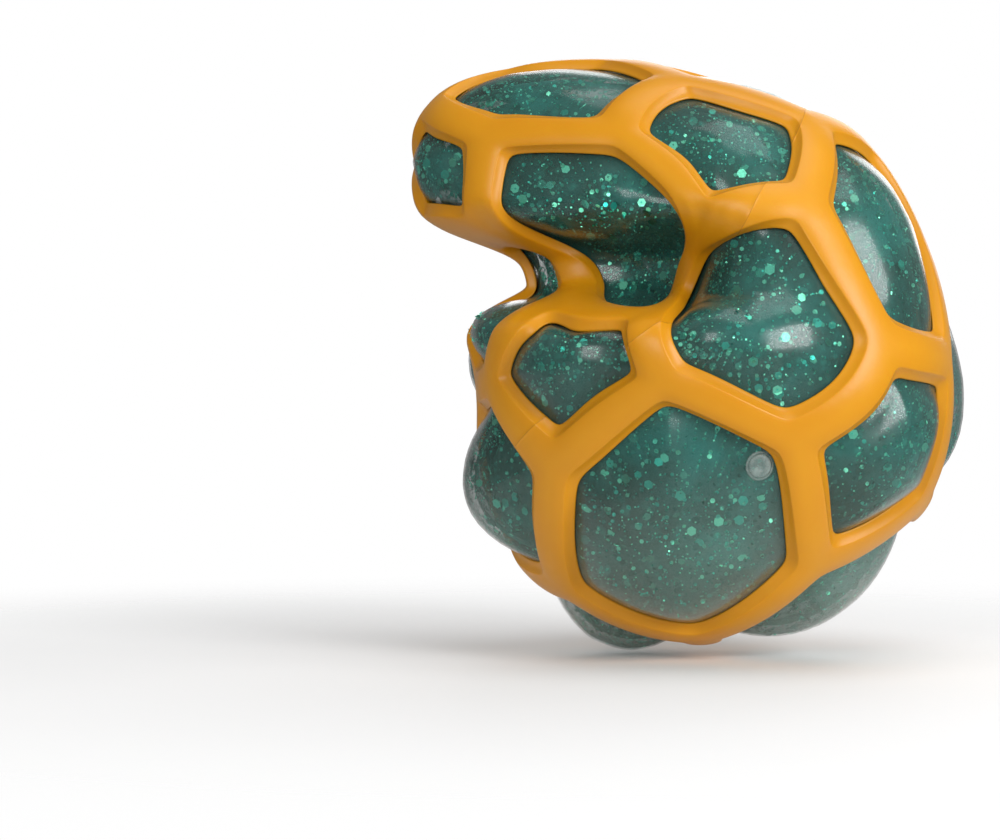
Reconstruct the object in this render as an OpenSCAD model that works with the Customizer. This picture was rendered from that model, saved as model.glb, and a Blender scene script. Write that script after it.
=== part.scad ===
// Jumbo net ball for squeezing, held in the folded shape that a thumb presses into it.
// A clear skin full of glitter gel bulges out of the windows of a moulded net.
// Lengths in millimetres. The frame's origin is the middle of the thumb groove,
// +X is to the viewer's right, -Y faces the viewer and +Z is up.

/* [Ball] */
// Diameter of the sphere that the squeezed shape is worked from
ball_d = 140; // [100:1:170]
// Width of the squeezed ball, as a share of its diameter
width_share = 0.93; // [0.85:0.01:1]
// Depth of the squeezed ball, as a share of its diameter
depth_share = 0.83; // [0.78:0.01:0.95]
// Height of the squeezed ball, as a share of its diameter
height_share = 1.04; // [0.95:0.01:1.1]

/* [Net] */
// Width of a strut at its foot
strut_w = 13; // [8:0.5:15]
// Thickness of a strut along its middle
strut_t = 3.3; // [2:0.1:4.5]
// Thickness of a strut at the shoulder of its bevelled rim
rim_t = 2.5; // [1.4:0.1:3.5]
// Width of the bevel between the shoulder and the foot
rim_bevel = 2.2; // [1:0.1:3]
// Sharpness of the windows' corners
corner_power = 12; // [6:1:20]
// Clearance between the net and the skin
net_clearance = 0.1; // [0.05:0.01:0.3]

/* [Skin] */
// Wall of the clear skin
skin_t = 2; // [1.2:0.1:3]
// How far the skin bulges out of a window at half height
swell = 5.5; // [3:0.1:7]
// How much more it bulges for each ball radius further down
swell_drop = 3.5; // [0:0.1:4]

/* [Gel] */
// Clearance between the skin and the gel
gel_clearance = 0.3; // [0.1:0.05:0.6]
// Diameter of the slow middle of the gel that turns in a swirl, over its poles
swirl_d = 64; // [40:1:66]
// Width of the straight waist around that middle
swirl_waist = 20; // [10:1:30]
// Clearance around the swirling middle
swirl_clearance = 0.3; // [0.2:0.05:0.6]

/* [Fill plug] */
// Diameter of the plug's head
plug_head_d = 6; // [4:0.1:8]
// Thickness of the plug's head
plug_head_t = 0.8; // [0.5:0.1:1.2]
// Diameter of the plug's stem in the fill hole
plug_stem_d = 3.6; // [2:0.1:3.8]
// Clearance between the stem and the fill hole
plug_clearance = 0.05; // [0.02:0.01:0.1]
// Width of the sealant bead around the head
bead_w = 0.7; // [0.4:0.1:1]
// Height of the sealant bead
bead_t = 0.5; // [0.3:0.1:0.7]
// Gap between the sealant bead and the nearest strut
plug_gap = 0.5; // [0.4:0.1:3]

/* [Glitter] */
// Width of a large flake across its corners
large_flake_w = 2.6; // [1.5:0.1:4]
// Width of a fine flake across its corners
fine_flake_w = 1.3; // [0.8:0.1:2]
// Thickness of every flake
flake_t = 0.2; // [0.1:0.05:0.4]
// Large flakes near the skin
large_flakes = 90; // [20:1:120]
// Fine flakes near the skin
fine_flakes = 130; // [20:1:160]
// Flakes in the swirling middle
swirl_flakes = 60; // [10:1:80]

/* [Fold] */
// Largest turn of the upper lobe as the fold closes
fold_travel = 8; // [4:0.5:8]
// Radius of the saddle that the upper lobe rolls on
saddle_r = 33; // [31:0.5:35]
// Clearance between the saddle and the upper lobe
saddle_clearance = 0.6; // [0.4:0.1:1]

/* [Hidden] */

ball_r = ball_d / 2;
// Everything in this block is in ball radii, from the middle of the ball
turned = [-5, 6, -10];             // how the net's pattern is turned, in degrees
gathered = [-0.05, 0.1, 0.15];     // which way the pattern is drawn together
groove_z = 0.29;                   // height of the thumb groove
groove_lean = -0.04;               // its rise for each radius to the right
groove_half = 0.16;                // half its height
groove_end = 0.06;                 // where the thumb's tip stops
groove_fade = 0.1;                 // how softly it ends there
groove_pinch = 0.7;                // share of the depth that thumb and fingers take up
groove_bite = 0.34;                // share of the width that the hand's web takes up
grip_x = -0.3;                     // middle of the groove from left to right
fold_x = 0.52;                     // where the upper lobe turns
swirl_at = [0.08, 0, -0.42];       // middle of the swirl
plug_at = [0.36, -0.7, -0.63];     // which way the fill plug lies from the middle
// Where the hand moves the ball out of round: place, reach, then shift along X and Z
pushes = [
    [[-0.8, 0, 0.95], 0.5, [-0.35, 0]],        // top of the upper lobe, drawn out to the left
    [[-0.95, 0, 0.45], 0.35, [0.05, -0.05]],   // end of the upper lobe
    [[-0.85, 0, -0.1], 0.4, [0.2, 0]],         // left flank, behind the hand's web
    [[-0.55, 0, -0.7], 0.45, [0, 0.05]],       // lower left
    [[0.95, 0, -0.25], 0.45, [0.05, -0.1]],    // right flank
    [[-0.25, 0, 1.05], 0.45, [-0.35, 0.05]],   // crown
    [[-0.45, 0.65, 0.5], 0.45, [0.3, -0.25]],  // upper lip of the groove
    [[-0.4, 0.55, -0.25], 0.45, [0.15, 0.15]], // lower lip of the groove
    [[0, 0.7, -0.5], 0.45, [0.05, 0.1]],       // belly
    [[0.5, 0.65, 0], 0.45, [0.15, -0.1]],      // cheek beside the thumb's tip
    [[0.4, 0.5, 0.75], 0.4, [0.1, 0]]          // shoulder above it
];
edge_steps = 4;                    // points along one side of a window
window_rings = [0.72, 0.38];       // rings of points inside a window
feel = 0.004;                      // step that finds the slope of the surface

grip = ball_r * [grip_x, 0, groove_z + groove_lean * grip_x];
fold_at = ball_r * [fold_x, 0, groove_z] - grip;
swirl_centre = ball_r * swirl_at - grip;
drum_r = sqrt(pow(swirl_d, 2) - pow(swirl_waist, 2)) / 2;
mouth_half = fold_travel / 2 + 0.5;
reach = 2 * ball_d;

// ---- the squeezed surface ----
function unit(v) = v / norm(v);
function about_x(a) = [[1, 0, 0], [0, cos(a), -sin(a)], [0, sin(a), cos(a)]];
function about_y(a) = [[cos(a), 0, sin(a)], [0, 1, 0], [-sin(a), 0, cos(a)]];
function about_z(a) = [[cos(a), -sin(a), 0], [sin(a), cos(a), 0], [0, 0, 1]];
turn = about_z(turned.z) * about_y(turned.y) * about_x(turned.x);

// The pattern turned, then slid over the sphere towards the gathered side
function drawn(u) = let (v = turn * u, t = gathered, k = 1 + v * t)
    ((1 - t * t) * v + 2 * k * t) / (2 * k + t * t - 1);
function stretched(u) = let (v = drawn(u))
    [width_share * v.x, depth_share * v.y, height_share * v.z];
function shares(p) = [for (q = pushes)
    let (d = [p.x, abs(p.y), p.z] - q[0]) exp(-(d * d) / pow(q[1], 2))];
function pushed(u) = let (p = stretched(u), w = shares(p))
    p + [w * [for (q = pushes) q[2].x], 0, w * [for (q = pushes) q[2].y]];
function groove_share(p) =
    exp(-pow((p.z - groove_z - groove_lean * p.x) / groove_half, 4))
    / (1 + exp(-(groove_end - p.x) / groove_fade));
function surface_at(u) = let (p = pushed(u), g = groove_share(p))
    ball_r * [groove_end + (p.x - groove_end) * (1 - groove_bite * g),
              p.y * (1 - groove_pinch * g), p.z] - grip;
function swell_at(u) = let (p = pushed(u)) (swell - swell_drop * p.z) * (1 - groove_share(p));

// Directions across u that find the surface's outward normal
function across(u) = unit(cross(u, abs(u.x) < 0.8 ? [1, 0, 0] : [0, 1, 0]));
function normal_at(u) = let (a = feel * across(u), b = cross(u, a))
    unit(cross(surface_at(unit(u + a)) - surface_at(unit(u - a)),
               surface_at(unit(u + b)) - surface_at(unit(u - b))));

// ---- the net's pattern: 12 pentagons and 20 hexagons ----
ico_ring = 2 / sqrt(5);
ico = concat([[0, 0, 1], [0, 0, -1]],
    [for (k = [0:4]) [ico_ring * cos(72 * k), ico_ring * sin(72 * k), ico_ring / 2]],
    [for (k = [0:4]) [ico_ring * cos(72 * k + 36), ico_ring * sin(72 * k + 36), -ico_ring / 2]]);
function near(a, b) = a * b > 0.4 && a * b < 0.5;
// A cell is its middle, its number of sides and its first corner
cells = concat(
    [for (a = ico) [a, 5, unit(2 * a + [for (b = ico) if (near(a, b)) b][0])]],
    [for (i = [0:11], j = [0:11], k = [0:11])
        if (i < j && j < k && near(ico[i], ico[j]) && near(ico[j], ico[k]) && near(ico[k], ico[i]))
            [unit(ico[i] + ico[j] + ico[k]), 6, unit(2 * ico[i] + ico[j])]]);
function spun(v, axis, a) =
    v * cos(a) + cross(axis, v) * sin(a) + axis * (axis * v) * (1 - cos(a));
function corner(cell, i) = spun(cell[2], cell[0], 360 / cell[1] * i);
// Points along a cell's outline, each with its angle from the middle of its side
function outline(cell) = [for (i = [0 : cell[1] - 1], k = [0 : edge_steps - 1])
    let (s = k / edge_steps)
        [unit((1 - s) * corner(cell, i) + s * corner(cell, i + 1)),
         atan((2 * s - 1) * tan(180 / cell[1]))]];
// Share of the way from the middle to the outline at which the window's edge lies
function window_share(cell, o) =
    let (half = strut_w / 2 / cos(o[1]) / norm(surface_at(o[0]) - surface_at(cell[0])),
         near_side = pow(cos(o[1]), corner_power),
         next_side = pow(cos(360 / cell[1] - abs(o[1])), corner_power))
    (1 - half) * cos(o[1]) / pow(near_side + next_side, 1 / corner_power);
function toward(cell, o, share) = unit(cell[0] + share * (o[0] - cell[0]));

function snapped(p) = [for (c = p) round(c * 10000) / 10000];
function lifted(u, h) = snapped(surface_at(u) + h * normal_at(u));
// Triangles between two rings of the same length, the second nearer to the middle
function band(a, b) = [for (i = [0 : len(a) - 1]) let (j = (i + 1) % len(a))
    each [[a[i], b[i], b[j]], [a[i], b[j], a[j]]]];
function turned_over(triangles) = [for (t = triangles) [t[0], t[2], t[1]]];
function fan(a, tip) = [for (i = [0 : len(a) - 1]) [a[i], tip, a[(i + 1) % len(a)]]];

module closed(triangles) {
    polyhedron(points = [for (t = triangles) each t],
        faces = [for (i = [0 : len(triangles) - 1]) [3 * i, 3 * i + 1, 3 * i + 2]]);
}

// One cell's share of the net: crown, shoulder, foot and back along the underside
function net_cell(cell) =
    let (os = outline(cell), ws = [for (o = os) window_share(cell, o)],
         n = len(os), bevel = 1 - rim_bevel / (strut_w / 2),
         us = [for (o = os) o[0]],
         shoulders = [for (i = [0 : n - 1]) toward(cell, os[i], 1 - (1 - ws[i]) * bevel)],
         feet = [for (i = [0 : n - 1]) toward(cell, os[i], ws[i])],
         crown = [for (u = us) lifted(u, net_clearance + strut_t)],
         shoulder = [for (u = shoulders) lifted(u, net_clearance + rim_t)],
         foot = [for (u = feet) lifted(u, net_clearance)],
         under = [for (u = us) lifted(u, net_clearance)])
    concat(band(crown, shoulder), band(shoulder, foot), turned_over(band(under, foot)));

module net() { closed([for (cell = cells) each net_cell(cell)]); }

// One cell of a sheet that lies so far below the net and bulges out of the window
function sheet_cell(cell, below) =
    let (os = outline(cell), ws = [for (o = os) window_share(cell, o)],
         n = len(os),
         rings = [for (r = window_rings) [for (i = [0 : n - 1])
             let (u = toward(cell, os[i], ws[i] * r)) lifted(u, swell_at(u) * (1 - r * r) - below)]],
         edge = [for (o = os) lifted(o[0], -below)],
         foot = [for (i = [0 : n - 1]) lifted(toward(cell, os[i], ws[i]), -below)],
         tip = lifted(cell[0], swell_at(cell[0]) - below))
    concat(band(edge, foot), band(foot, rings[0]), band(rings[0], rings[1]), fan(rings[1], tip));

module filled(below) { closed([for (cell = cells) each sheet_cell(cell, below)]); }

// ---- where the two lobes part ----
// Everything under a plane through the fold, and the saddle on it
module under_fold(tilt, r) {
    translate(fold_at) {
        rotate([0, tilt, 0]) translate([-reach, -reach, -reach]) cube([2 * reach, 2 * reach, reach]);
        rotate([90, 0, 0]) cylinder(2 * reach, r = r, center = true, $fn = 64);
    }
}

module lower_part() {
    intersection() {
        children();
        under_fold(-mouth_half, saddle_r);
    }
}

module upper_part() {
    difference() {
        children();
        under_fold(mouth_half, saddle_r + saddle_clearance);
    }
}

module skin() {
    difference() {
        filled(0);
        filled(skin_t);
    }
}

gel_below = skin_t + gel_clearance;

module net_lower() { color("orange") lower_part() net(); }
module net_upper() { color("orange") upper_part() net(); }

module skin_lower() {
    color("lightcyan") difference() {
        lower_part() skin();
        fill_hole();
    }
}

module skin_upper() { color("lightcyan") upper_part() skin(); }

module gel_lower() {
    color("darkcyan") difference() {
        lower_part() filled(gel_below);
        swirl_drum(swirl_clearance);
    }
}

module gel_upper() { color("darkcyan") upper_part() filled(gel_below); }

// A ball with a straight waist around the axis that it turns on
module swirl_drum(extra) {
    translate(swirl_centre) intersection() {
        sphere(swirl_d / 2 + extra, $fn = 96);
        cylinder(2 * swirl_d, r = drum_r + extra, center = true, $fn = 96);
    }
}

module swirling_gel() { color("teal") swirl_drum(0); }

// ---- fill plug ----
module facing(n) { rotate([0, acos(n.z), atan2(n.y, n.x)]) children(); }

function most(list) = [for (i = [0 : len(list) - 1]) if (list[i] == max(list)) i][0];
plug_cell = cells[most([for (cell = cells) cell[0] * unit(plug_at)])];
plug_way = unit(plug_at) - plug_cell[0];
plug_outline = outline(plug_cell);
plug_side = plug_outline[most([for (o = plug_outline) unit(o[0] - plug_cell[0]) * plug_way])];
plug_edge = window_share(plug_cell, plug_side);
plug_room = norm(surface_at(plug_side[0]) - surface_at(plug_cell[0])) * plug_edge;
plug_share = 1 - (plug_head_d / 2 + bead_w + plug_gap) / plug_room;
plug_sunk = 0.5;                   // how deep the head sits in the skin
plug_feel = 0.1;                   // share of the window that finds the bulge's slope

// The skin's outer face in a window, a share of the way from its middle to its edge
function bulge_at(cell, o, share) = let (u = toward(cell, o, window_share(cell, o) * share))
    surface_at(u) + swell_at(u) * (1 - share * share) * normal_at(u);
plug_slope = unit(bulge_at(plug_cell, plug_side, plug_share + plug_feel)
                  - bulge_at(plug_cell, plug_side, plug_share - plug_feel));
plug_upright = normal_at(toward(plug_cell, plug_side, plug_edge * plug_share));
plug_normal = unit(plug_upright - plug_slope * (plug_slope * plug_upright));

// From the outer face of the skin's bulge, outwards
module at_plug() {
    translate(bulge_at(plug_cell, plug_side, plug_share)) facing(plug_normal) children();
}

module fill_hole() {
    at_plug() {
        cylinder(4 * skin_t, d = plug_stem_d + 2 * plug_clearance, center = true, $fn = 48);
        translate([0, 0, -plug_sunk]) cylinder(4 * skin_t, d = plug_head_d + 2 * bead_w, $fn = 48);
    }
}

module fill_plug() {
    color("lightsteelblue") at_plug() {
        translate([0, 0, -plug_sunk]) cylinder(plug_head_t, d = plug_head_d, $fn = 48);
        translate([0, 0, -skin_t]) cylinder(skin_t - plug_sunk, d = plug_stem_d, $fn = 48);
    }
}

module plug_sealant() {
    color("white") at_plug() translate([0, 0, -plug_sunk]) difference() {
        cylinder(bead_t, d = plug_head_d + 2 * bead_w, $fn = 48);
        translate([0, 0, -1]) cylinder(bead_t + 2, d = plug_head_d, $fn = 48);
    }
}

// ---- glitter ----
golden_angle = 137.508;
function spiral(count) = [for (k = [0 : count - 1])
    let (z = 1 - (2 * k + 1) / count, r = sqrt(1 - z * z), a = golden_angle * k)
        [r * cos(a), r * sin(a), z]];

// A flake is its middle and the way it faces; layers lie deeper and deeper
function near_skin(count, first, layer) = let (us = spiral(count))
    [for (k = [0 : count - 1]) let (n = normal_at(us[k]))
        [surface_at(us[k]) - (gel_below + first + layer * (k % 3)) * n, n]];
function in_swirl(count, width) = let (us = spiral(count))
    [for (k = [0 : count - 1])
        [swirl_centre + (drum_r - width) * (0.5 + 0.5 * ((k * 7) % count) / count) * us[k], us[k]]];
function above_mouth(p, side) =
    let (d = p - fold_at) side * d.z - abs(d.x) * tan(mouth_half);
function in_upper(p, width) = let (d = p - fold_at)
    norm([d.x, d.z]) > saddle_r + saddle_clearance + width && above_mouth(p, 1) > width;
function in_lower(p, width) = let (d = p - fold_at)
    (norm([d.x, d.z]) < saddle_r - width || above_mouth(p, -1) > width)
    && norm(p - swirl_centre) > swirl_d / 2 + swirl_clearance + width;

module flakes(spots, width) {
    for (s = spots) translate(s[0]) facing(s[1]) cylinder(flake_t, d = width, center = true, $fn = 6);
}

large_near = near_skin(large_flakes, 1.6, 2);
fine_near = near_skin(fine_flakes, 1.2, 1.4);

module large_glitter_lower() {
    color("aquamarine") flakes([for (s = large_near) if (in_lower(s[0], large_flake_w)) s], large_flake_w);
}

module large_glitter_upper() {
    color("aquamarine") flakes([for (s = large_near) if (in_upper(s[0], large_flake_w)) s], large_flake_w);
}

module large_glitter_swirl() {
    color("aquamarine") flakes(in_swirl(swirl_flakes / 2, large_flake_w), large_flake_w);
}

module fine_glitter_lower() {
    color("turquoise") flakes([for (s = fine_near) if (in_lower(s[0], fine_flake_w)) s], fine_flake_w);
}

module fine_glitter_upper() {
    color("turquoise") flakes([for (s = fine_near) if (in_upper(s[0], fine_flake_w)) s], fine_flake_w);
}

module fine_glitter_swirl() {
    color("turquoise") flakes(in_swirl(swirl_flakes, fine_flake_w), fine_flake_w);
}

net_lower();
net_upper();
skin_lower();
skin_upper();
gel_lower();
gel_upper();
swirling_gel();
fill_plug();
plug_sealant();
large_glitter_lower();
large_glitter_upper();
large_glitter_swirl();
fine_glitter_lower();
fine_glitter_upper();
fine_glitter_swirl();
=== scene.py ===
import math
import random
import bmesh
import bpy
import numpy as np
from mathutils import Matrix, Vector


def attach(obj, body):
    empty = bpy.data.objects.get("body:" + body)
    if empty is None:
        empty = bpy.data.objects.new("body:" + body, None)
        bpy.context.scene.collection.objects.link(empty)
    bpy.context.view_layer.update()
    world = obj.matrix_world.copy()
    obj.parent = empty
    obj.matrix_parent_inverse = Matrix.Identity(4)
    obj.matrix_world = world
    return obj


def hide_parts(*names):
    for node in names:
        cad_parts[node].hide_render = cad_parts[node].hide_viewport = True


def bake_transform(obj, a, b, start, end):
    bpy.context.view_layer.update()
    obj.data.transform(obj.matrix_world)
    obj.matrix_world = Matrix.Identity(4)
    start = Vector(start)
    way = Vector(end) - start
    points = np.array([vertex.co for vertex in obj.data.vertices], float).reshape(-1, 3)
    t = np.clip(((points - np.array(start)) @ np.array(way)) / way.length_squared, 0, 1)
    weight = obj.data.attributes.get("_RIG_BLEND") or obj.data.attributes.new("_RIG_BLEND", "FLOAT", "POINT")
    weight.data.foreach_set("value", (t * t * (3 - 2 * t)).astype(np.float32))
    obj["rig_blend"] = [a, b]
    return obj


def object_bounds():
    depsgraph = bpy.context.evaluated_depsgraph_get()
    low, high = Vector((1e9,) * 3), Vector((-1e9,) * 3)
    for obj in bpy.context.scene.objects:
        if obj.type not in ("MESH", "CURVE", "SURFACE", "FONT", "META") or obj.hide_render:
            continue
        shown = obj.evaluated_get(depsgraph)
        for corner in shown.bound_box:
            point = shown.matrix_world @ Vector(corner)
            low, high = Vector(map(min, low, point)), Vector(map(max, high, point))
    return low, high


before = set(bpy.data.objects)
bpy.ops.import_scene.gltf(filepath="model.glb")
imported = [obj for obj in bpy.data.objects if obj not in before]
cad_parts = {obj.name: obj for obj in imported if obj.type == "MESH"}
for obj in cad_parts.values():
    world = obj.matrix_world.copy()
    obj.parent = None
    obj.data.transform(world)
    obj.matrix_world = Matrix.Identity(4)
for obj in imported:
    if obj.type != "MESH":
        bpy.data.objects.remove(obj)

cadLow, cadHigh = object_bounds()
mm = 0.001

# The squeezed ball, as the part's source gives it: lengths in mm, places in ball radii
ball = {
    "radius": 70, "width": 0.93, "depth": 0.83, "height": 1.04,
    "turned": (-5, 6, -10), "gathered": (-0.05, 0.1, 0.15),
    "grooveZ": 0.29, "grooveLean": -0.04, "grooveHalf": 0.16, "grooveEnd": 0.06,
    "grooveFade": 0.1, "groovePinch": 0.7, "grooveBite": 0.34, "gripX": -0.3,
    "foldX": 0.52, "swirlAt": (0.08, 0, -0.42), "plugAt": (0.36, -0.7, -0.63), "feel": 0.004,
    # place, reach, shift along X and Z
    "pushes": [
        ((-0.8, 0, 0.95), 0.5, (-0.35, 0)), ((-0.95, 0, 0.45), 0.35, (0.05, -0.05)),
        ((-0.85, 0, -0.1), 0.4, (0.2, 0)), ((-0.55, 0, -0.7), 0.45, (0, 0.05)),
        ((0.95, 0, -0.25), 0.45, (0.05, -0.1)), ((-0.25, 0, 1.05), 0.45, (-0.35, 0.05)),
        ((-0.45, 0.65, 0.5), 0.45, (0.3, -0.25)), ((-0.4, 0.55, -0.25), 0.45, (0.15, 0.15)),
        ((0, 0.7, -0.5), 0.45, (0.05, 0.1)), ((0.5, 0.65, 0), 0.45, (0.15, -0.1)),
        ((0.4, 0.5, 0.75), 0.4, (0.1, 0)),
    ],
}
turn = (Matrix.Rotation(math.radians(ball["turned"][2]), 3, "Z")
        @ Matrix.Rotation(math.radians(ball["turned"][1]), 3, "Y")
        @ Matrix.Rotation(math.radians(ball["turned"][0]), 3, "X"))
grip = Vector((ball["gripX"], 0, ball["grooveZ"] + ball["grooveLean"] * ball["gripX"]))
foldAt = (Vector((ball["foldX"], 0, ball["grooveZ"])) - grip) * ball["radius"]
swirlCentre = (Vector(ball["swirlAt"]) - grip) * ball["radius"]


def unit(v):
    return v / np.linalg.norm(v, axis=-1, keepdims=True)


def pushed(u):
    # directions on the net's own sphere, turned, gathered, stretched and pushed by the hand
    v = u @ np.array(turn).T
    t = np.array(ball["gathered"])
    k = 1 + v @ t
    v = ((1 - t @ t) * v + 2 * k[:, None] * t) / (2 * k + t @ t - 1)[:, None]
    p = v * (ball["width"], ball["depth"], ball["height"])
    folded = np.stack([p[:, 0], abs(p[:, 1]), p[:, 2]], axis=1)
    moved = p.copy()
    for place, reach, shift in ball["pushes"]:
        share = np.exp(-((folded - place) ** 2).sum(1) / reach ** 2)
        moved[:, 0] += share * shift[0]
        moved[:, 2] += share * shift[1]
    return moved


def grooveShare(p):
    height = (p[:, 2] - ball["grooveZ"] - ball["grooveLean"] * p[:, 0]) / ball["grooveHalf"]
    ended = 1 + np.exp(-(ball["grooveEnd"] - p[:, 0]) / ball["grooveFade"])
    return np.exp(-height ** 4) / ended


def surfaceAt(u):
    p = pushed(u)
    share = grooveShare(p)
    end = ball["grooveEnd"]
    p[:, 0] = end + (p[:, 0] - end) * (1 - ball["grooveBite"] * share)
    p[:, 1] *= 1 - ball["groovePinch"] * share
    return (p - np.array(grip)) * ball["radius"]


def normalAt(u):
    side = np.where(abs(u[:, :1]) < 0.8, [[1.0, 0, 0]], [[0, 1.0, 0]])
    a = ball["feel"] * unit(np.cross(u, side))
    b = np.cross(u, a)
    return unit(np.cross(surfaceAt(unit(u + a)) - surfaceAt(unit(u - a)),
                         surfaceAt(unit(u + b)) - surfaceAt(unit(u - b))))


def swellAt(u):
    p = pushed(u)
    return (skin["swell"] - skin["swellDrop"] * p[:, 2]) * (1 - grooveShare(p))


def lifted(u, height):
    return (surfaceAt(u) + np.asarray(height)[:, None] * normalAt(u)) * mm


# ---- materials ----
class Wire:  # a shader socket that takes plain maths
    def __init__(self, finish, socket):
        self.finish, self.socket = finish, socket

    def maths(self, operation, *values):
        return self.finish.node("ShaderNodeMath", {"operation": operation}, dict(enumerate(values)))

    def __add__(self, other):
        return self.maths("ADD", self, other)

    def __sub__(self, other):
        return self.maths("SUBTRACT", self, other)

    def __mul__(self, other):
        return self.maths("MULTIPLY", self, other)

    def __pow__(self, other):
        return self.maths("POWER", self, other)

    def __rsub__(self, other):
        return self.maths("SUBTRACT", other, self)

    __radd__, __rmul__ = __add__, __mul__


class Finish:  # a node material, and its one way of adding nodes
    def __init__(self, name):
        self.material = bpy.data.materials.new(name)
        self.material.use_nodes = True
        self.tree = self.material.node_tree
        self.tree.nodes.clear()

    def node(self, kind, settings=None, values=None, out=0):
        made = self.tree.nodes.new(kind)
        for name, value in (settings or {}).items():
            if name == "stops":
                ramp = made.color_ramp
                while len(ramp.elements) < len(value):
                    ramp.elements.new(0.5)
                for element, (position, colour) in zip(ramp.elements, value):
                    element.position, element.color = position, (*colour, 1)
            else:
                setattr(made, name, value)
        for name, value in (values or {}).items():
            if isinstance(value, Wire):
                self.tree.links.new(value.socket, made.inputs[name])
            else:
                made.inputs[name].default_value = value
        return Wire(self, made.outputs[out])

    def place(self):
        return self.node("ShaderNodeTexCoord", out=3)

    def noise(self, scale, detail=3, roughness=0.5, distortion=0):
        return self.node("ShaderNodeTexNoise", None, {
            "Vector": self.place(), "Scale": scale, "Detail": detail,
            "Roughness": roughness, "Distortion": distortion})

    def attribute(self, name):
        return self.node("ShaderNodeAttribute", {"attribute_name": name}, None, 2)

    # distance to the nearest point of a scatter, and a random shade for each point
    def points(self, scale):
        settings = {"feature": "F1"}
        values = {"Vector": self.place(), "Scale": scale, "Randomness": 1}
        return (self.node("ShaderNodeTexVoronoi", settings, values),
                self.node("ShaderNodeSeparateColor", None, {
                    "Color": self.node("ShaderNodeTexVoronoi", settings, values, 1)}))

    # 0 below low, 1 above high, smooth between
    def rise(self, value, low, high):
        return self.node("ShaderNodeMapRange", {"interpolation_type": "SMOOTHSTEP"}, {
            "Value": value, "From Min": low, "From Max": high, "To Min": 0, "To Max": 1})

    def mixed(self, factor, first, second):
        colours = [(*c, 1) if isinstance(c, tuple) else c for c in (first, second)]
        return self.node("ShaderNodeMix", {"data_type": "RGBA"}, {
            0: factor, 6: colours[0], 7: colours[1]}, 2)

    def bump(self, height, strength, distance, under=None):
        values = {"Height": height, "Strength": strength, "Distance": distance}
        if under:
            values["Normal"] = under
        return self.node("ShaderNodeBump", None, values)

    def principled(self, **values):
        named = {name.replace("_", " "): value for name, value in values.items()}
        colour = named["Base Color"]
        named["Base Color"] = (*colour, 1) if isinstance(colour, tuple) else colour
        shader = self.node("ShaderNodeBsdfPrincipled", None, named)
        end = self.tree.nodes.new("ShaderNodeOutputMaterial")
        self.tree.links.new(shader.socket, end.inputs["Surface"])
        return self.material


netLook = {
    "light": (0.70, 0.315, 0.006), "deep": (0.56, 0.215, 0.001), "speck": (0.12, 0.05, 0.01),
    "roughness": 0.28, "grain": 2600, "ripple": 120, "speckScale": 95,
}


def netRubber():
    f = Finish("netRubber")
    clouds = f.noise(28, 4)
    grain = f.noise(netLook["grain"], 2)
    ripple = f.noise(netLook["ripple"], 3)
    rim = f.attribute("rim")
    parting = f.attribute("parting")
    parting = f.rise(parting.maths("ABSOLUTE", parting), 0.0, 0.0022)
    distance, shade = f.points(netLook["speckScale"])
    speck = (1 - f.rise(distance, 0.018, 0.03)) * f.rise(shade, 0.8, 0.82)
    colour = f.mixed(clouds, netLook["deep"], netLook["light"])
    # painted shade: the rubber darkens towards each window's edge, where the strut's bevel slopes down
    colour = f.mixed(rim * 0.45, colour, netLook["deep"])
    colour = f.mixed(speck * 0.8, colour, netLook["speck"])
    colour = f.mixed((1 - parting) * 0.35, colour, netLook["speck"])
    normal = f.bump(ripple, 0.25, 0.0006)
    normal = f.bump(grain, 0.12, 0.0001, normal)
    return f.principled(Base_Color=colour, Roughness=netLook["roughness"] + grain * 0.08 + clouds * 0.1,
                        Normal=normal, Subsurface_Weight=0.1, Subsurface_Radius=(1, 0.35, 0.06),
                        Subsurface_Scale=0.004, Specular_IOR_Level=0.36)


# "low" is painted light: the paler colour the skin takes on towards the bottom
skinLook = {
    "edge": (0.04, 0.09, 0.075), "low": (0.20, 0.25, 0.21), "clear": 0.15, "roughness": 0.17,
}


def clearSkin():
    f = Finish("clearSkin")
    facing = f.node("ShaderNodeLayerWeight", None, {"Blend": 0.5}, 1)
    smear = f.noise(45, 4, 0.6)
    dust = f.noise(1400, 2)
    height = f.node("ShaderNodeSeparateXYZ", None, {"Vector": f.place()}, 2)
    # painted light: towards the bottom the skin turns paler, standing for the backdrop's light shining through
    # the lower windows
    colour = f.mixed(f.rise(height, -0.04, -0.09), skinLook["edge"], skinLook["low"])
    alpha = skinLook["clear"] + smear * 0.06 + (0.8 - skinLook["clear"]) * facing ** 3
    normal = f.bump(f.noise(70, 3), 0.2, 0.0012)
    return f.principled(Base_Color=colour, Roughness=skinLook["roughness"] + smear * 0.1 + dust * 0.04,
                        Alpha=alpha, Normal=normal, Specular_IOR_Level=1.0, IOR=1.45,
                        Coat_Weight=1.0, Coat_Roughness=0.12)


gelLook = {
    # grey is the streaks' own colour and also painted light on the gel's lower part
    "dark": (0.050, 0.145, 0.125), "teal": (0.055, 0.370, 0.325), "grey": (0.22, 0.38, 0.33),
    "brown": (0.15, 0.125, 0.085), "spot": (0.10, 0.78, 0.60),
}


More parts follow.
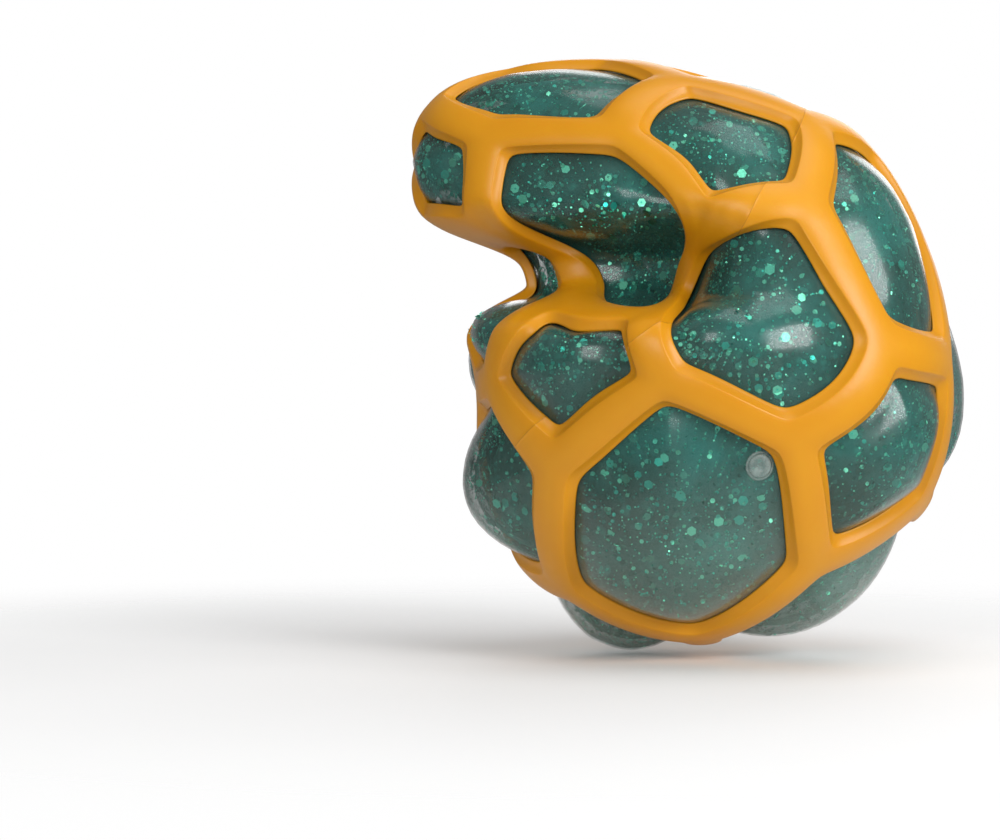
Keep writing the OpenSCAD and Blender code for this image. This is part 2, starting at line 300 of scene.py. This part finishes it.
def gelBody(name, alpha, spotScale, spotShare):
    f = Finish(name)
    clouds = f.noise(42, 5, 0.62, 0.6)
    streaks = f.noise(110, 4, 0.6, 1.2)
    height = f.node("ShaderNodeSeparateXYZ", None, {"Vector": f.place()}, 2)
    colour = f.mixed(f.rise(clouds, 0.36, 0.64), gelLook["dark"], gelLook["teal"])
    colour = f.mixed(f.rise(streaks, 0.55, 0.72) * 0.45, colour, gelLook["grey"])
    colour = f.mixed(f.rise(f.noise(26, 3), 0.58, 0.7) * 0.3, colour, gelLook["brown"])
    # painted light: towards the bottom the gel turns paler grey, standing for the backdrop's light shining
    # through
    colour = f.mixed(f.rise(height, -0.045, -0.1) * 0.5, colour, gelLook["grey"])
    distance, shade = f.points(spotScale)
    spot = (1 - f.rise(distance, 0.14, 0.42)) * f.rise(shade, 1 - spotShare, 1.0)
    colour = f.mixed(spot * 0.75, colour, gelLook["spot"])
    small, smallShade = f.points(spotScale * 2.3)
    dots = (1 - f.rise(small, 0.1, 0.3)) * f.rise(smallShade, 1 - spotShare, 1.0)
    colour = f.mixed(dots * 0.6, colour, gelLook["spot"])
    if alpha >= 1:
        return f.principled(Base_Color=colour, Roughness=0.55 + clouds * 0.1, Specular_IOR_Level=0.0)
    facing = f.node("ShaderNodeLayerWeight", None, {"Blend": 0.5}, 1)
    return f.principled(Base_Color=colour, Roughness=0.55 + clouds * 0.1, Specular_IOR_Level=0.0,
                        Alpha=alpha + (clouds - 0.5) * 0.5 + facing ** 4)


# the flakes' glow strength is a painted glint
flakeLook = {"deep": (0.012, 0.13, 0.11), "teal": (0.05, 0.70, 0.54), "mint": (0.28, 1.0, 0.66),
             "roughness": 0.3, "paintedGlint": 0.3}


def glitterFoil():
    f = Finish("glitterFoil")
    shade = f.attribute("shade")
    sheen = f.noise(1500, 1)
    colour = f.mixed(f.rise(shade, 0.05, 0.4), flakeLook["deep"], flakeLook["teal"])
    colour = f.mixed(f.rise(shade, 0.5, 0.9), colour, flakeLook["mint"])
    # painted glint: the flakes with the highest shades glow teal, standing for sparkle where they catch the light
    paintedGlint = f.mixed(f.rise(shade, 0.72, 1.0), (0.0, 0.0, 0.0), flakeLook["teal"])
    return f.principled(Base_Color=colour, Metallic=0.92, Roughness=flakeLook["roughness"] + sheen * 0.15,
                        Emission_Color=paintedGlint, Emission_Strength=flakeLook["paintedGlint"])


def plugPlastic():
    f = Finish("plugPlastic")
    clouds = f.noise(500, 4)
    colour = f.mixed(clouds, (0.16, 0.24, 0.22), (0.34, 0.40, 0.38))
    return f.principled(Base_Color=colour, Roughness=0.35 + clouds * 0.15, Alpha=0.25 + clouds * 0.5,
                        Normal=f.bump(f.noise(900, 3), 0.3, 0.0003), Specular_IOR_Level=0.6)


def sealantGlue():
    f = Finish("sealantGlue")
    clouds = f.noise(700, 4)
    colour = f.mixed(clouds, (0.16, 0.24, 0.22), (0.36, 0.42, 0.40))
    return f.principled(Base_Color=colour, Roughness=0.25 + clouds * 0.2, Alpha=0.15 + clouds * 0.4,
                        Normal=f.bump(clouds, 0.4, 0.0003), Specular_IOR_Level=0.6)


def paleFloor():
    f = Finish("paleFloor")
    clouds = f.noise(3, 3)
    grain = f.noise(300, 2)
    colour = f.mixed(clouds, (0.88, 0.88, 0.88), (0.91, 0.91, 0.91))
    away = f.node("ShaderNodeVectorMath", {"operation": "LENGTH"}, {0: f.place()}, 1)
    return f.principled(Base_Color=colour, Roughness=0.7 + grain * 0.1, Specular_IOR_Level=0.2,
                        Alpha=1 - f.rise(away, studio["fadeFrom"], studio["fadeTo"]))


# ---- the net's pattern on a sphere: 12 pentagons and 20 hexagons ----
net = {"width": 12.4, "thickness": 3.3, "rim": 2.5, "bevel": 2.0, "cornerPower": 44, "clearance": 0.1,
       "steps": 10, "ridge": 0.22, "ridgeWidth": 0.35,
       "eased": 0.03, "easing": 4}  # where the groove's share is over eased, the rims are smoothed
skin = {"thickness": 0.4, "swell": 5.5, "swellDrop": 3.5}  # thin, so that the gel shows right up to it


def cellMesh():
    bm = bmesh.new()
    bmesh.ops.create_icosphere(bm, subdivisions=1, radius=1)
    bmesh.ops.bevel(bm, geom=bm.verts[:], offset=100 / 3, offset_type="PERCENT", affect="VERTICES",
                    segments=1, profile=0.5, material=-1)
    bmesh.ops.subdivide_edges(bm, edges=bm.edges[:], cuts=net["steps"] - 1)
    return bm


# For each corner of each cell: direction, middle and where the window's edge lies between them
def cellPlan(bm):
    plan = {}
    for face in bm.faces:
        sides = round(len(face.verts) / net["steps"])
        flatMiddle = face.calc_center_median()
        apothem = min((v.co - flatMiddle).length for v in face.verts)
        middle = flatMiddle.normalized()
        for v in face.verts:
            cosine = min(1, apothem / (v.co - flatMiddle).length)
            plan[face.index, v.index] = [np.array(v.co.normalized()), np.array(middle), cosine, sides]
    keys = list(plan)
    out = np.array([plan[k][0] for k in keys])
    middle = np.array([plan[k][1] for k in keys])
    cosine = np.array([plan[k][2] for k in keys])
    sides = np.array([plan[k][3] for k in keys])
    power = net["cornerPower"]
    nextSide = np.cos(2 * np.pi / sides - np.arccos(cosine)) ** power
    reach = np.linalg.norm(surfaceAt(out) - surfaceAt(middle), axis=1)
    half = net["width"] / 2 / cosine / reach
    share = (1 - half) * cosine / (cosine ** power + nextSide) ** (1 / power)
    return {k: (o, m, s) for k, o, m, s in zip(keys, out, middle, share)}


# Rings from the strut's middle line to the window's edge, then on into the window.
# Each ring is (how, amount, height): "strut" is a share of the way from the middle line to
# the edge, "window" is a share of the way from the window's middle to the edge.
def ringed(rings, filled):
    bm = cellMesh()
    bm.verts.index_update()
    bm.faces.index_update()
    plan = cellPlan(bm)
    high = bm.verts.layers.float.new("high")
    rim = bm.verts.layers.float.new("rim")
    ring = bm.verts.layers.int.new("ring")
    cells = [(face, [plan[face.index, v.index] for v in face.verts]) for face in bm.faces]
    for v in bm.verts:
        v.co = v.co.normalized()
        v[high] = rings[0][2]
    for how, amount, height in rings[1:]:
        for face, spots in cells:
            bmesh.ops.inset_individual(bm, faces=[face], thickness=0.001)
            for v, (out, middle, edge) in zip(face.verts, spots):
                share = 1 - (1 - edge) * amount if how == "strut" else edge * amount
                v.co = Vector(unit(middle + share * (out - middle)))
                v[rim] = amount if how == "strut" else 1
                v[high] = height
                v[ring] = 0 if how == "strut" else 1
    if filled:
        for face, spots in cells:
            tip = bmesh.ops.poke(bm, faces=[face])["verts"][0]
            tip.co = Vector(spots[0][1])
            tip[rim], tip[ring] = 1, 1
    else:
        bmesh.ops.delete(bm, geom=[face for face, spots in cells], context="FACES")
    return bm


def placed(bm):
    u = unit(np.array([v.co for v in bm.verts]))
    high = bm.verts.layers.float["high"]
    for v, co in zip(bm.verts, lifted(u, np.array([v[high] for v in bm.verts]))):
        v.co = co


# adds other's faces to bm
def joined(bm, other):
    scratch = bpy.data.meshes.new("joined")
    other.to_mesh(scratch)
    other.free()
    bm.from_mesh(scratch)
    bpy.data.meshes.remove(scratch)


def finished(bm, name, material, levels=1):
    mesh = bpy.data.meshes.new(name)
    bm.to_mesh(mesh)
    bm.free()
    mesh.shade_smooth()
    piece = bpy.data.objects.new(name, mesh)
    bpy.context.scene.collection.objects.link(piece)
    mesh.materials.append(material)
    if levels:
        rounding = piece.modifiers.new("rounding", "SUBSURF")
        rounding.levels = rounding.render_levels = levels
    return piece


def foldedShare(bm):
    return grooveShare(pushed(unit(np.array([v.co for v in bm.verts]))))


flex = {"low": -14 * mm, "high": 14 * mm}  # the fold bends this far each side of its axis


def bent(piece):
    x, z = foldAt.x * mm, foldAt.z * mm
    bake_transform(piece, "lower_ball", "upper_lobe", start=(x, 0, z + flex["low"]), end=(x, 0, z + flex["high"]))
    return piece


# ---- the net ----
# The net's rings, cut along the mould's parting line, which is a low ridge round the sphere
def partedNet(rings, ridge):
    bm = ringed(rings, False)
    normal = Vector((0.80, 0.18, -0.57)).normalized()
    for offset in (-net["ridgeWidth"], 0, net["ridgeWidth"]):
        bmesh.ops.bisect_plane(bm, geom=bm.verts[:] + bm.edges[:] + bm.faces[:], dist=1e-5,
                               plane_co=normal * (offset / ball["radius"]), plane_no=normal)
    high, rim = bm.verts.layers.float["high"], bm.verts.layers.float["rim"]
    parting = bm.verts.layers.float.new("parting")
    for v in bm.verts:
        v[parting] = v.co.dot(normal)
        if abs(v[parting]) < 1e-4 and v[rim] < 0.97:
            v[high] += ridge
    return bm


def makeNet():
    top, side = net["thickness"] + net["clearance"], 1 - net["bevel"] / (net["width"] / 2)
    shoulder = net["rim"] + net["clearance"]
    rings = [("strut", 0, top), ("strut", side * 0.5, top - 0.08), ("strut", side * 0.86, top - 0.38),
             ("strut", side * 0.96, shoulder + 0.26), ("strut", side, shoulder + 0.2),
             ("strut", side * 1.03, shoulder - 0.05), ("strut", side + (1 - side) * 0.45, 1.45),
             ("strut", side + (1 - side) * 0.8, 0.95), ("strut", side + (1 - side) * 0.95, 0.75),
             ("strut", 1, 0.45), ("strut", 1, net["clearance"])]
    bm = partedNet(rings, net["ridge"])
    under = partedNet([("strut", 0, net["clearance"]), ("strut", 1, net["clearance"])], 0)
    bmesh.ops.reverse_faces(under, faces=under.faces[:])
    joined(bm, under)
    rim = bm.verts.layers.float["rim"]
    folded = [v for v, share in zip(bm.verts, foldedShare(bm)) if share > net["eased"]]
    placed(bm)
    bmesh.ops.remove_doubles(bm, verts=[v for v in bm.verts if v[rim] > 0.99], dist=0.02 * mm)
    for k in range(net["easing"]):
        bmesh.ops.smooth_vert(bm, verts=[v for v in folded if v.is_valid], factor=0.5,
                              use_axis_x=True, use_axis_y=True, use_axis_z=True)
    piece = finished(bm, "net", netRubber())
    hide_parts("net_lower", "net_upper")
    return bent(piece)


# ---- skin and gel ----
sheetRings = (0.91, 0.72, 0.47, 0.22)  # shares of the way from a window's middle to its edge


def filledSheet(below):
    bm = ringed([("strut", 0, 0), ("strut", 1, 0)] + [("window", r, r) for r in sheetRings], True)
    u = unit(np.array([v.co for v in bm.verts]))
    high, ring = bm.verts.layers.float["high"], bm.verts.layers.int["ring"]
    r = np.array([v[high] for v in bm.verts])
    inWindow = np.array([v[ring] for v in bm.verts])
    heights = inWindow * swellAt(u) * (1 - r * r) - below
    for v, co in zip(bm.verts, lifted(u, heights)):
        v.co = co
    return bm


def makeSkin():
    bm = filledSheet(0.0)
    inner = filledSheet(skin["thickness"])
    bmesh.ops.reverse_faces(inner, faces=inner.faces[:])
    joined(bm, inner)
    piece = finished(bm, "skin", clearSkin())
    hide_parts("skin_lower", "skin_upper")
    return bent(piece)


gel = {"outer": 0.15, "haze": 2.6, "core": 7.0}  # depths of its three layers under the skin's inside


def makeGel():
    layers = [("gel", gel["outer"], gelBody("gelClear", 0.22, 330, 0.25)),
              ("gelHaze", gel["haze"], gelBody("gelHazy", 0.45, 260, 0.35)),
              ("gelCore", gel["core"], gelBody("gelDeep", 1.0, 190, 0.5))]
    for name, depth, material in layers:
        piece = finished(filledSheet(skin["thickness"] + depth), name, material)
        if name == "gel":
            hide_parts("gel_lower", "gel_upper")
        bent(piece)
    # the middle of the gel keeps the part's own solid
    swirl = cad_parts["swirling_gel"]
    swirl.data.materials.clear()
    swirl.data.materials.append(layers[-1][2])


# ---- glitter ----
glitter = {
    # width, thickness and deepest place in mm, tilt in degrees, crowd in flakes for a square
    # centimetre of window, swirling in flakes for the whole swirl
    "large": {"width": 2.5, "sides": 6, "thickness": 0.12, "crowd": 3.0, "tilt": 26,
              "deepest": 6.0, "swirling": 60},
    "medium": {"width": 1.25, "sides": 6, "thickness": 0.1, "crowd": 12, "tilt": 30,
               "deepest": 4.5},
    "fine": {"width": 0.6, "sides": 4, "thickness": 0.08, "crowd": 48, "tilt": 36,
             "deepest": 2.2, "swirling": 120},
    "seed": 7, "batch": 200,
    # painted shade: below the first height the flakes get darker tones more often
    "paintedShadeBelow": -35, "fade": 40,  # below this height in mm the flakes darken, over so many mm
    "shallowest": 0.15, "crowdedUp": 1.6,  # most flakes lie near the skin
    "edge": 0.97, "leaning": 0.6, "smallest": 0.75, "spread": 0.35,
    "swirlInner": 8, "swirlDeep": 20,
}


# Many flakes as one bmesh: each is a thin plate with its own shade
def flakeBatch(spots, kind):
    bm = bmesh.new()
    for start in range(0, len(spots), glitter["batch"]):
        part = bmesh.new()
        shade = part.verts.layers.float.new("shade")
        for place, facing, spin, tone, size in spots[start:start + glitter["batch"]]:
            matrix = (Matrix.Translation(place) @ facing.to_track_quat("Z", "Y").to_matrix().to_4x4()
                      @ Matrix.Rotation(spin, 4, "Z"))
            radius = kind["width"] * size * mm / 2
            made = bmesh.ops.create_cone(part, cap_ends=True, segments=kind["sides"], radius1=radius,
                                         radius2=radius, depth=kind["thickness"] * mm, matrix=matrix)
            for v in made["verts"]:
                v[shade] = tone
        joined(bm, part)
    return bm


def windowArea(outline, middle, edges):
    rim = lifted(unit(middle + np.array(edges)[:, None] * (np.array(outline) - middle)), np.zeros(len(edges)))
    spokes = rim - lifted(middle[None], np.zeros(1))
    return np.linalg.norm(np.cross(spokes, np.roll(spokes, -1, axis=0)), axis=1).sum() / 2 / (0.01 ** 2)


def flakeSpots(cells, kind, dice):
    spots, places = [], []
    shallowest = glitter["shallowest"]
    for outline, middle, edges in cells:
        for k in range(round(kind["crowd"] * windowArea(outline, middle, edges))):
            i = dice.randrange(len(outline))
            r = math.sqrt(dice.random()) * glitter["edge"]
            deeper = (kind["deepest"] - shallowest) * dice.random() ** glitter["crowdedUp"]
            way = unit(middle + r * edges[i] * (outline[i] - middle))
            places.append((way, r, shallowest + deeper + kind["width"] * 0.15))
    u = np.array([p[0] for p in places])
    r = np.array([p[1] for p in places])
    depth = np.array([p[2] for p in places])
    below = skin["thickness"] + gel["outer"]
    centres = lifted(u, swellAt(u) * (1 - r * r) - below - depth)
    facings = normalAt(u)
    for centre, facing in zip(centres, facings):
        tilt = math.radians(kind["tilt"])
        lean = Vector((dice.gauss(0, tilt), dice.gauss(0, tilt), dice.gauss(0, tilt)))
        towards = (Vector(facing) + lean * glitter["leaning"]).normalized()
        # the lower flakes face away from the light; painted shade makes more of them dark
        low = min(1, max(0, (glitter["paintedShadeBelow"] - centre[2] / mm) / glitter["fade"]))
        spots.append((Vector(centre), towards, dice.random() * math.pi, dice.random() ** (0.7 + 1.3 * low),
                      glitter["smallest"] + glitter["spread"] * dice.random()))
    return spots


def swirlSpots(kind, dice):
    spots = []
    for k in range(kind["swirling"]):
        way = Vector((dice.gauss(0, 1), dice.gauss(0, 1), dice.gauss(0, 1))).normalized()
        place = swirlCentre + way * (glitter["swirlInner"] + glitter["swirlDeep"] * dice.random())
        spots.append((place * mm, way, dice.random() * math.pi, dice.random(), 1))
    return spots


# each cell's outline, middle and shares to the window's edge
def windowCells():
    bm = cellMesh()
    bm.verts.index_update()
    bm.faces.index_update()
    plan = cellPlan(bm)
    cells = []
    for face in bm.faces:
        rows = [plan[face.index, v.index] for v in face.verts]
        cells.append(([row[0] for row in rows], rows[0][1], [row[2] for row in rows]))
    bm.free()
    return cells


def makeGlitter(cells):
    foil = glitterFoil()
    dice = random.Random(glitter["seed"])
    replaced = {"large": ("large_glitter_lower", "large_glitter_upper"),
                "medium": (), "fine": ("fine_glitter_lower", "fine_glitter_upper")}
    for size, nodes in replaced.items():
        kind = glitter[size]
        spots = flakeSpots(cells, kind, dice)
        piece = finished(flakeBatch(spots, kind), size + "Glitter", foil, 0)
        piece.data.shade_flat()
        if nodes:
            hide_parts(*nodes)
        bent(piece)
        print(size, "glitter:", len(spots), "flakes")
    for size in ("large", "fine"):
        kind = glitter[size]
        piece = finished(flakeBatch(swirlSpots(kind, dice), kind), size + "SwirlGlitter", foil, 0)
        piece.data.shade_flat()
        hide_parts(size + "_glitter_swirl")
        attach(piece, "swirl")


# ---- fill plug ----
plug = {"head": 6, "headHeight": 0.8, "stem": 3.6, "length": 2, "sunk": 0.5, "dimple": 1.6, "bead": 0.7,
        "gap": 0.5}


# where the plug sits on the bulge of its window, and which way it faces
def plugFrame(cells):
    u = unit(np.array([ball["plugAt"]], float))
    outline, middle, edges = max(cells, key=lambda cell: u[0] @ cell[1])
    way = unit(u[0] - middle)
    i = max(range(len(outline)), key=lambda k: unit(outline[k] - middle) @ way)
    room = np.linalg.norm(surfaceAt(outline[i][None]) - surfaceAt(middle[None])) * edges[i]
    share = 1 - (plug["head"] / 2 + plug["bead"] + plug["gap"]) / room
    shares = np.array([share - 0.1, share, share + 0.1])
    us = unit(middle + (shares * edges[i])[:, None] * (outline[i] - middle))
    inner, centre, outer = lifted(us, swellAt(us) * (1 - shares * shares))
    slope = unit(outer - inner)
    upright = normalAt(us[1:2])[0]
    return Vector(centre), Vector(unit(upright - slope * (slope @ upright)))


def turnedProfile(profile, name, material, centre, facing, smooth=1):
    # profile is (radius, height) from the axis out and back to it, spun round the axis
    bm = bmesh.new()
    verts = [bm.verts.new((r * mm, 0, h * mm)) for r, h in profile]
    edges = [bm.edges.new(pair) for pair in zip(verts, verts[1:])]
    bmesh.ops.spin(bm, geom=verts + edges, cent=(0, 0, 0), axis=(0, 0, 1), angle=2 * math.pi, steps=36,
                   use_merge=True, use_duplicate=False)
    bmesh.ops.remove_doubles(bm, verts=bm.verts[:], dist=0.002 * mm)
    bmesh.ops.recalc_face_normals(bm, faces=bm.faces[:])
    matrix = Matrix.Translation(centre) @ facing.to_track_quat("Z", "Y").to_matrix().to_4x4()
    bmesh.ops.transform(bm, matrix=matrix, verts=bm.verts[:])
    return finished(bm, name, material, smooth)


def makePlug(cells):
    centre, facing = plugFrame(cells)
    top, seat, foot = plug["headHeight"] - plug["sunk"], -plug["sunk"], -plug["length"]
    r, stem = plug["head"] / 2, plug["stem"] / 2
    head = [(0, top - 0.28), (plug["dimple"] * 0.5, top - 0.24), (plug["dimple"] * 0.85, top - 0.05),
            (plug["dimple"] * 1.05, top), (r * 0.82, top - 0.06), (r * 0.95, top - 0.18), (r, seat + 0.3),
            (r, seat + 0.05), (r * 0.98, seat), (stem * 1.04, seat), (stem, seat - 0.08),
            (stem, foot + 0.2), (stem * 0.9, foot), (0, foot)]
    piece = turnedProfile(head, "fillPlug", plugPlastic(), centre, facing)
    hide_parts("fill_plug")
    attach(piece, "lower_ball")
    out = r + plug["bead"]
    bead = [(r + 0.02, seat + 0.02), (r + 0.02, seat + 0.42), (r + 0.2, seat + 0.5),
            (out - 0.25, seat + 0.42), (out - 0.04, seat + 0.18), (out - 0.02, seat + 0.02),
            (r + 0.02, seat + 0.02)]
    piece = turnedProfile(bead, "plugSealant", sealantGlue(), centre, facing)
    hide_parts("plug_sealant")
    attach(piece, "lower_ball")


# ---- floor, light and camera ----
studio = {"floorGap": 1 * mm, "floorRadius": 2, "fadeFrom": 0.08, "fadeTo": 0.36, "seen": 1.0, "cast": 0.3}


def makeStudio():
    bm = bmesh.new()
    bmesh.ops.create_circle(bm, cap_ends=True, segments=64, radius=studio["floorRadius"])
    bmesh.ops.inset_region(bm, faces=bm.faces[:], thickness=studio["floorRadius"] * 0.9)
    bmesh.ops.translate(bm, verts=bm.verts[:], vec=(0, 0, cadLow.z - studio["floorGap"]))
    finished(bm, "floor", paleFloor(), 0)
    # the camera sees a white room, which casts only a soft light
    world = bpy.data.worlds.new("studioAir")
    bpy.context.scene.world = world
    world.use_nodes = True
    tree = world.node_tree
    room = tree.nodes["Background"]
    room.inputs["Color"].default_value = (1, 1, 1, 1)
    path = tree.nodes.new("ShaderNodeLightPath")
    strength = tree.nodes.new("ShaderNodeMapRange")
    strength.inputs["To Min"].default_value = studio["cast"]
    strength.inputs["To Max"].default_value = studio["seen"]
    tree.links.new(path.outputs["Is Camera Ray"], strength.inputs["Value"])
    tree.links.new(strength.outputs[0], room.inputs["Strength"])


lamps = {
    "keyPanel": {"at": (0.60, -0.72, 0.26), "size": (0.4, 0.5), "power": 7.4},
    "fillPanel": {"at": (-0.36, -0.95, 0.24), "size": (0.36, 0.5), "power": 3.6},
    "topPanel": {"at": (0.20, -0.20, 0.95), "size": (0.7, 0.7), "power": 3.4},
    "backPanel": {"at": (0.3, 1.0, 0.5), "size": (0.8, 0.8), "power": 4.5},
}


def makeLamps():
    middle = (cadLow + cadHigh) / 2
    for name, lamp in lamps.items():
        light = bpy.data.lights.new(name, "AREA")
        light.shape = "RECTANGLE"
        light.size, light.size_y = lamp["size"]
        light.energy = lamp["power"]
        holder = bpy.data.objects.new(name, light)
        bpy.context.scene.collection.objects.link(holder)
        holder.location = lamp["at"]
        holder.rotation_euler = (middle - Vector(lamp["at"])).to_track_quat("-Z", "Y").to_euler()


def makeCamera():
    camera = bpy.data.cameras.new("camera")
    camera.lens = 88.92
    camera.sensor_width = 36
    camera.clip_start, camera.clip_end = 0.05, 20
    holder = bpy.data.objects.new("camera", camera)
    bpy.context.scene.collection.objects.link(holder)
    holder.location = (-26.4 * mm, -650 * mm, -37.44 * mm)
    holder.rotation_euler = (math.pi / 2, 0, 0)
    bpy.context.scene.camera = holder


print("studio")
makeCamera()
makeStudio()
makeLamps()
bpy.context.scene.view_settings.view_transform = "Standard"
print("net")
makeNet()
print("skin and gel")
makeSkin()
makeGel()
print("glitter")
windows = windowCells()
makeGlitter(windows)
print("plug")
makePlug(windows)
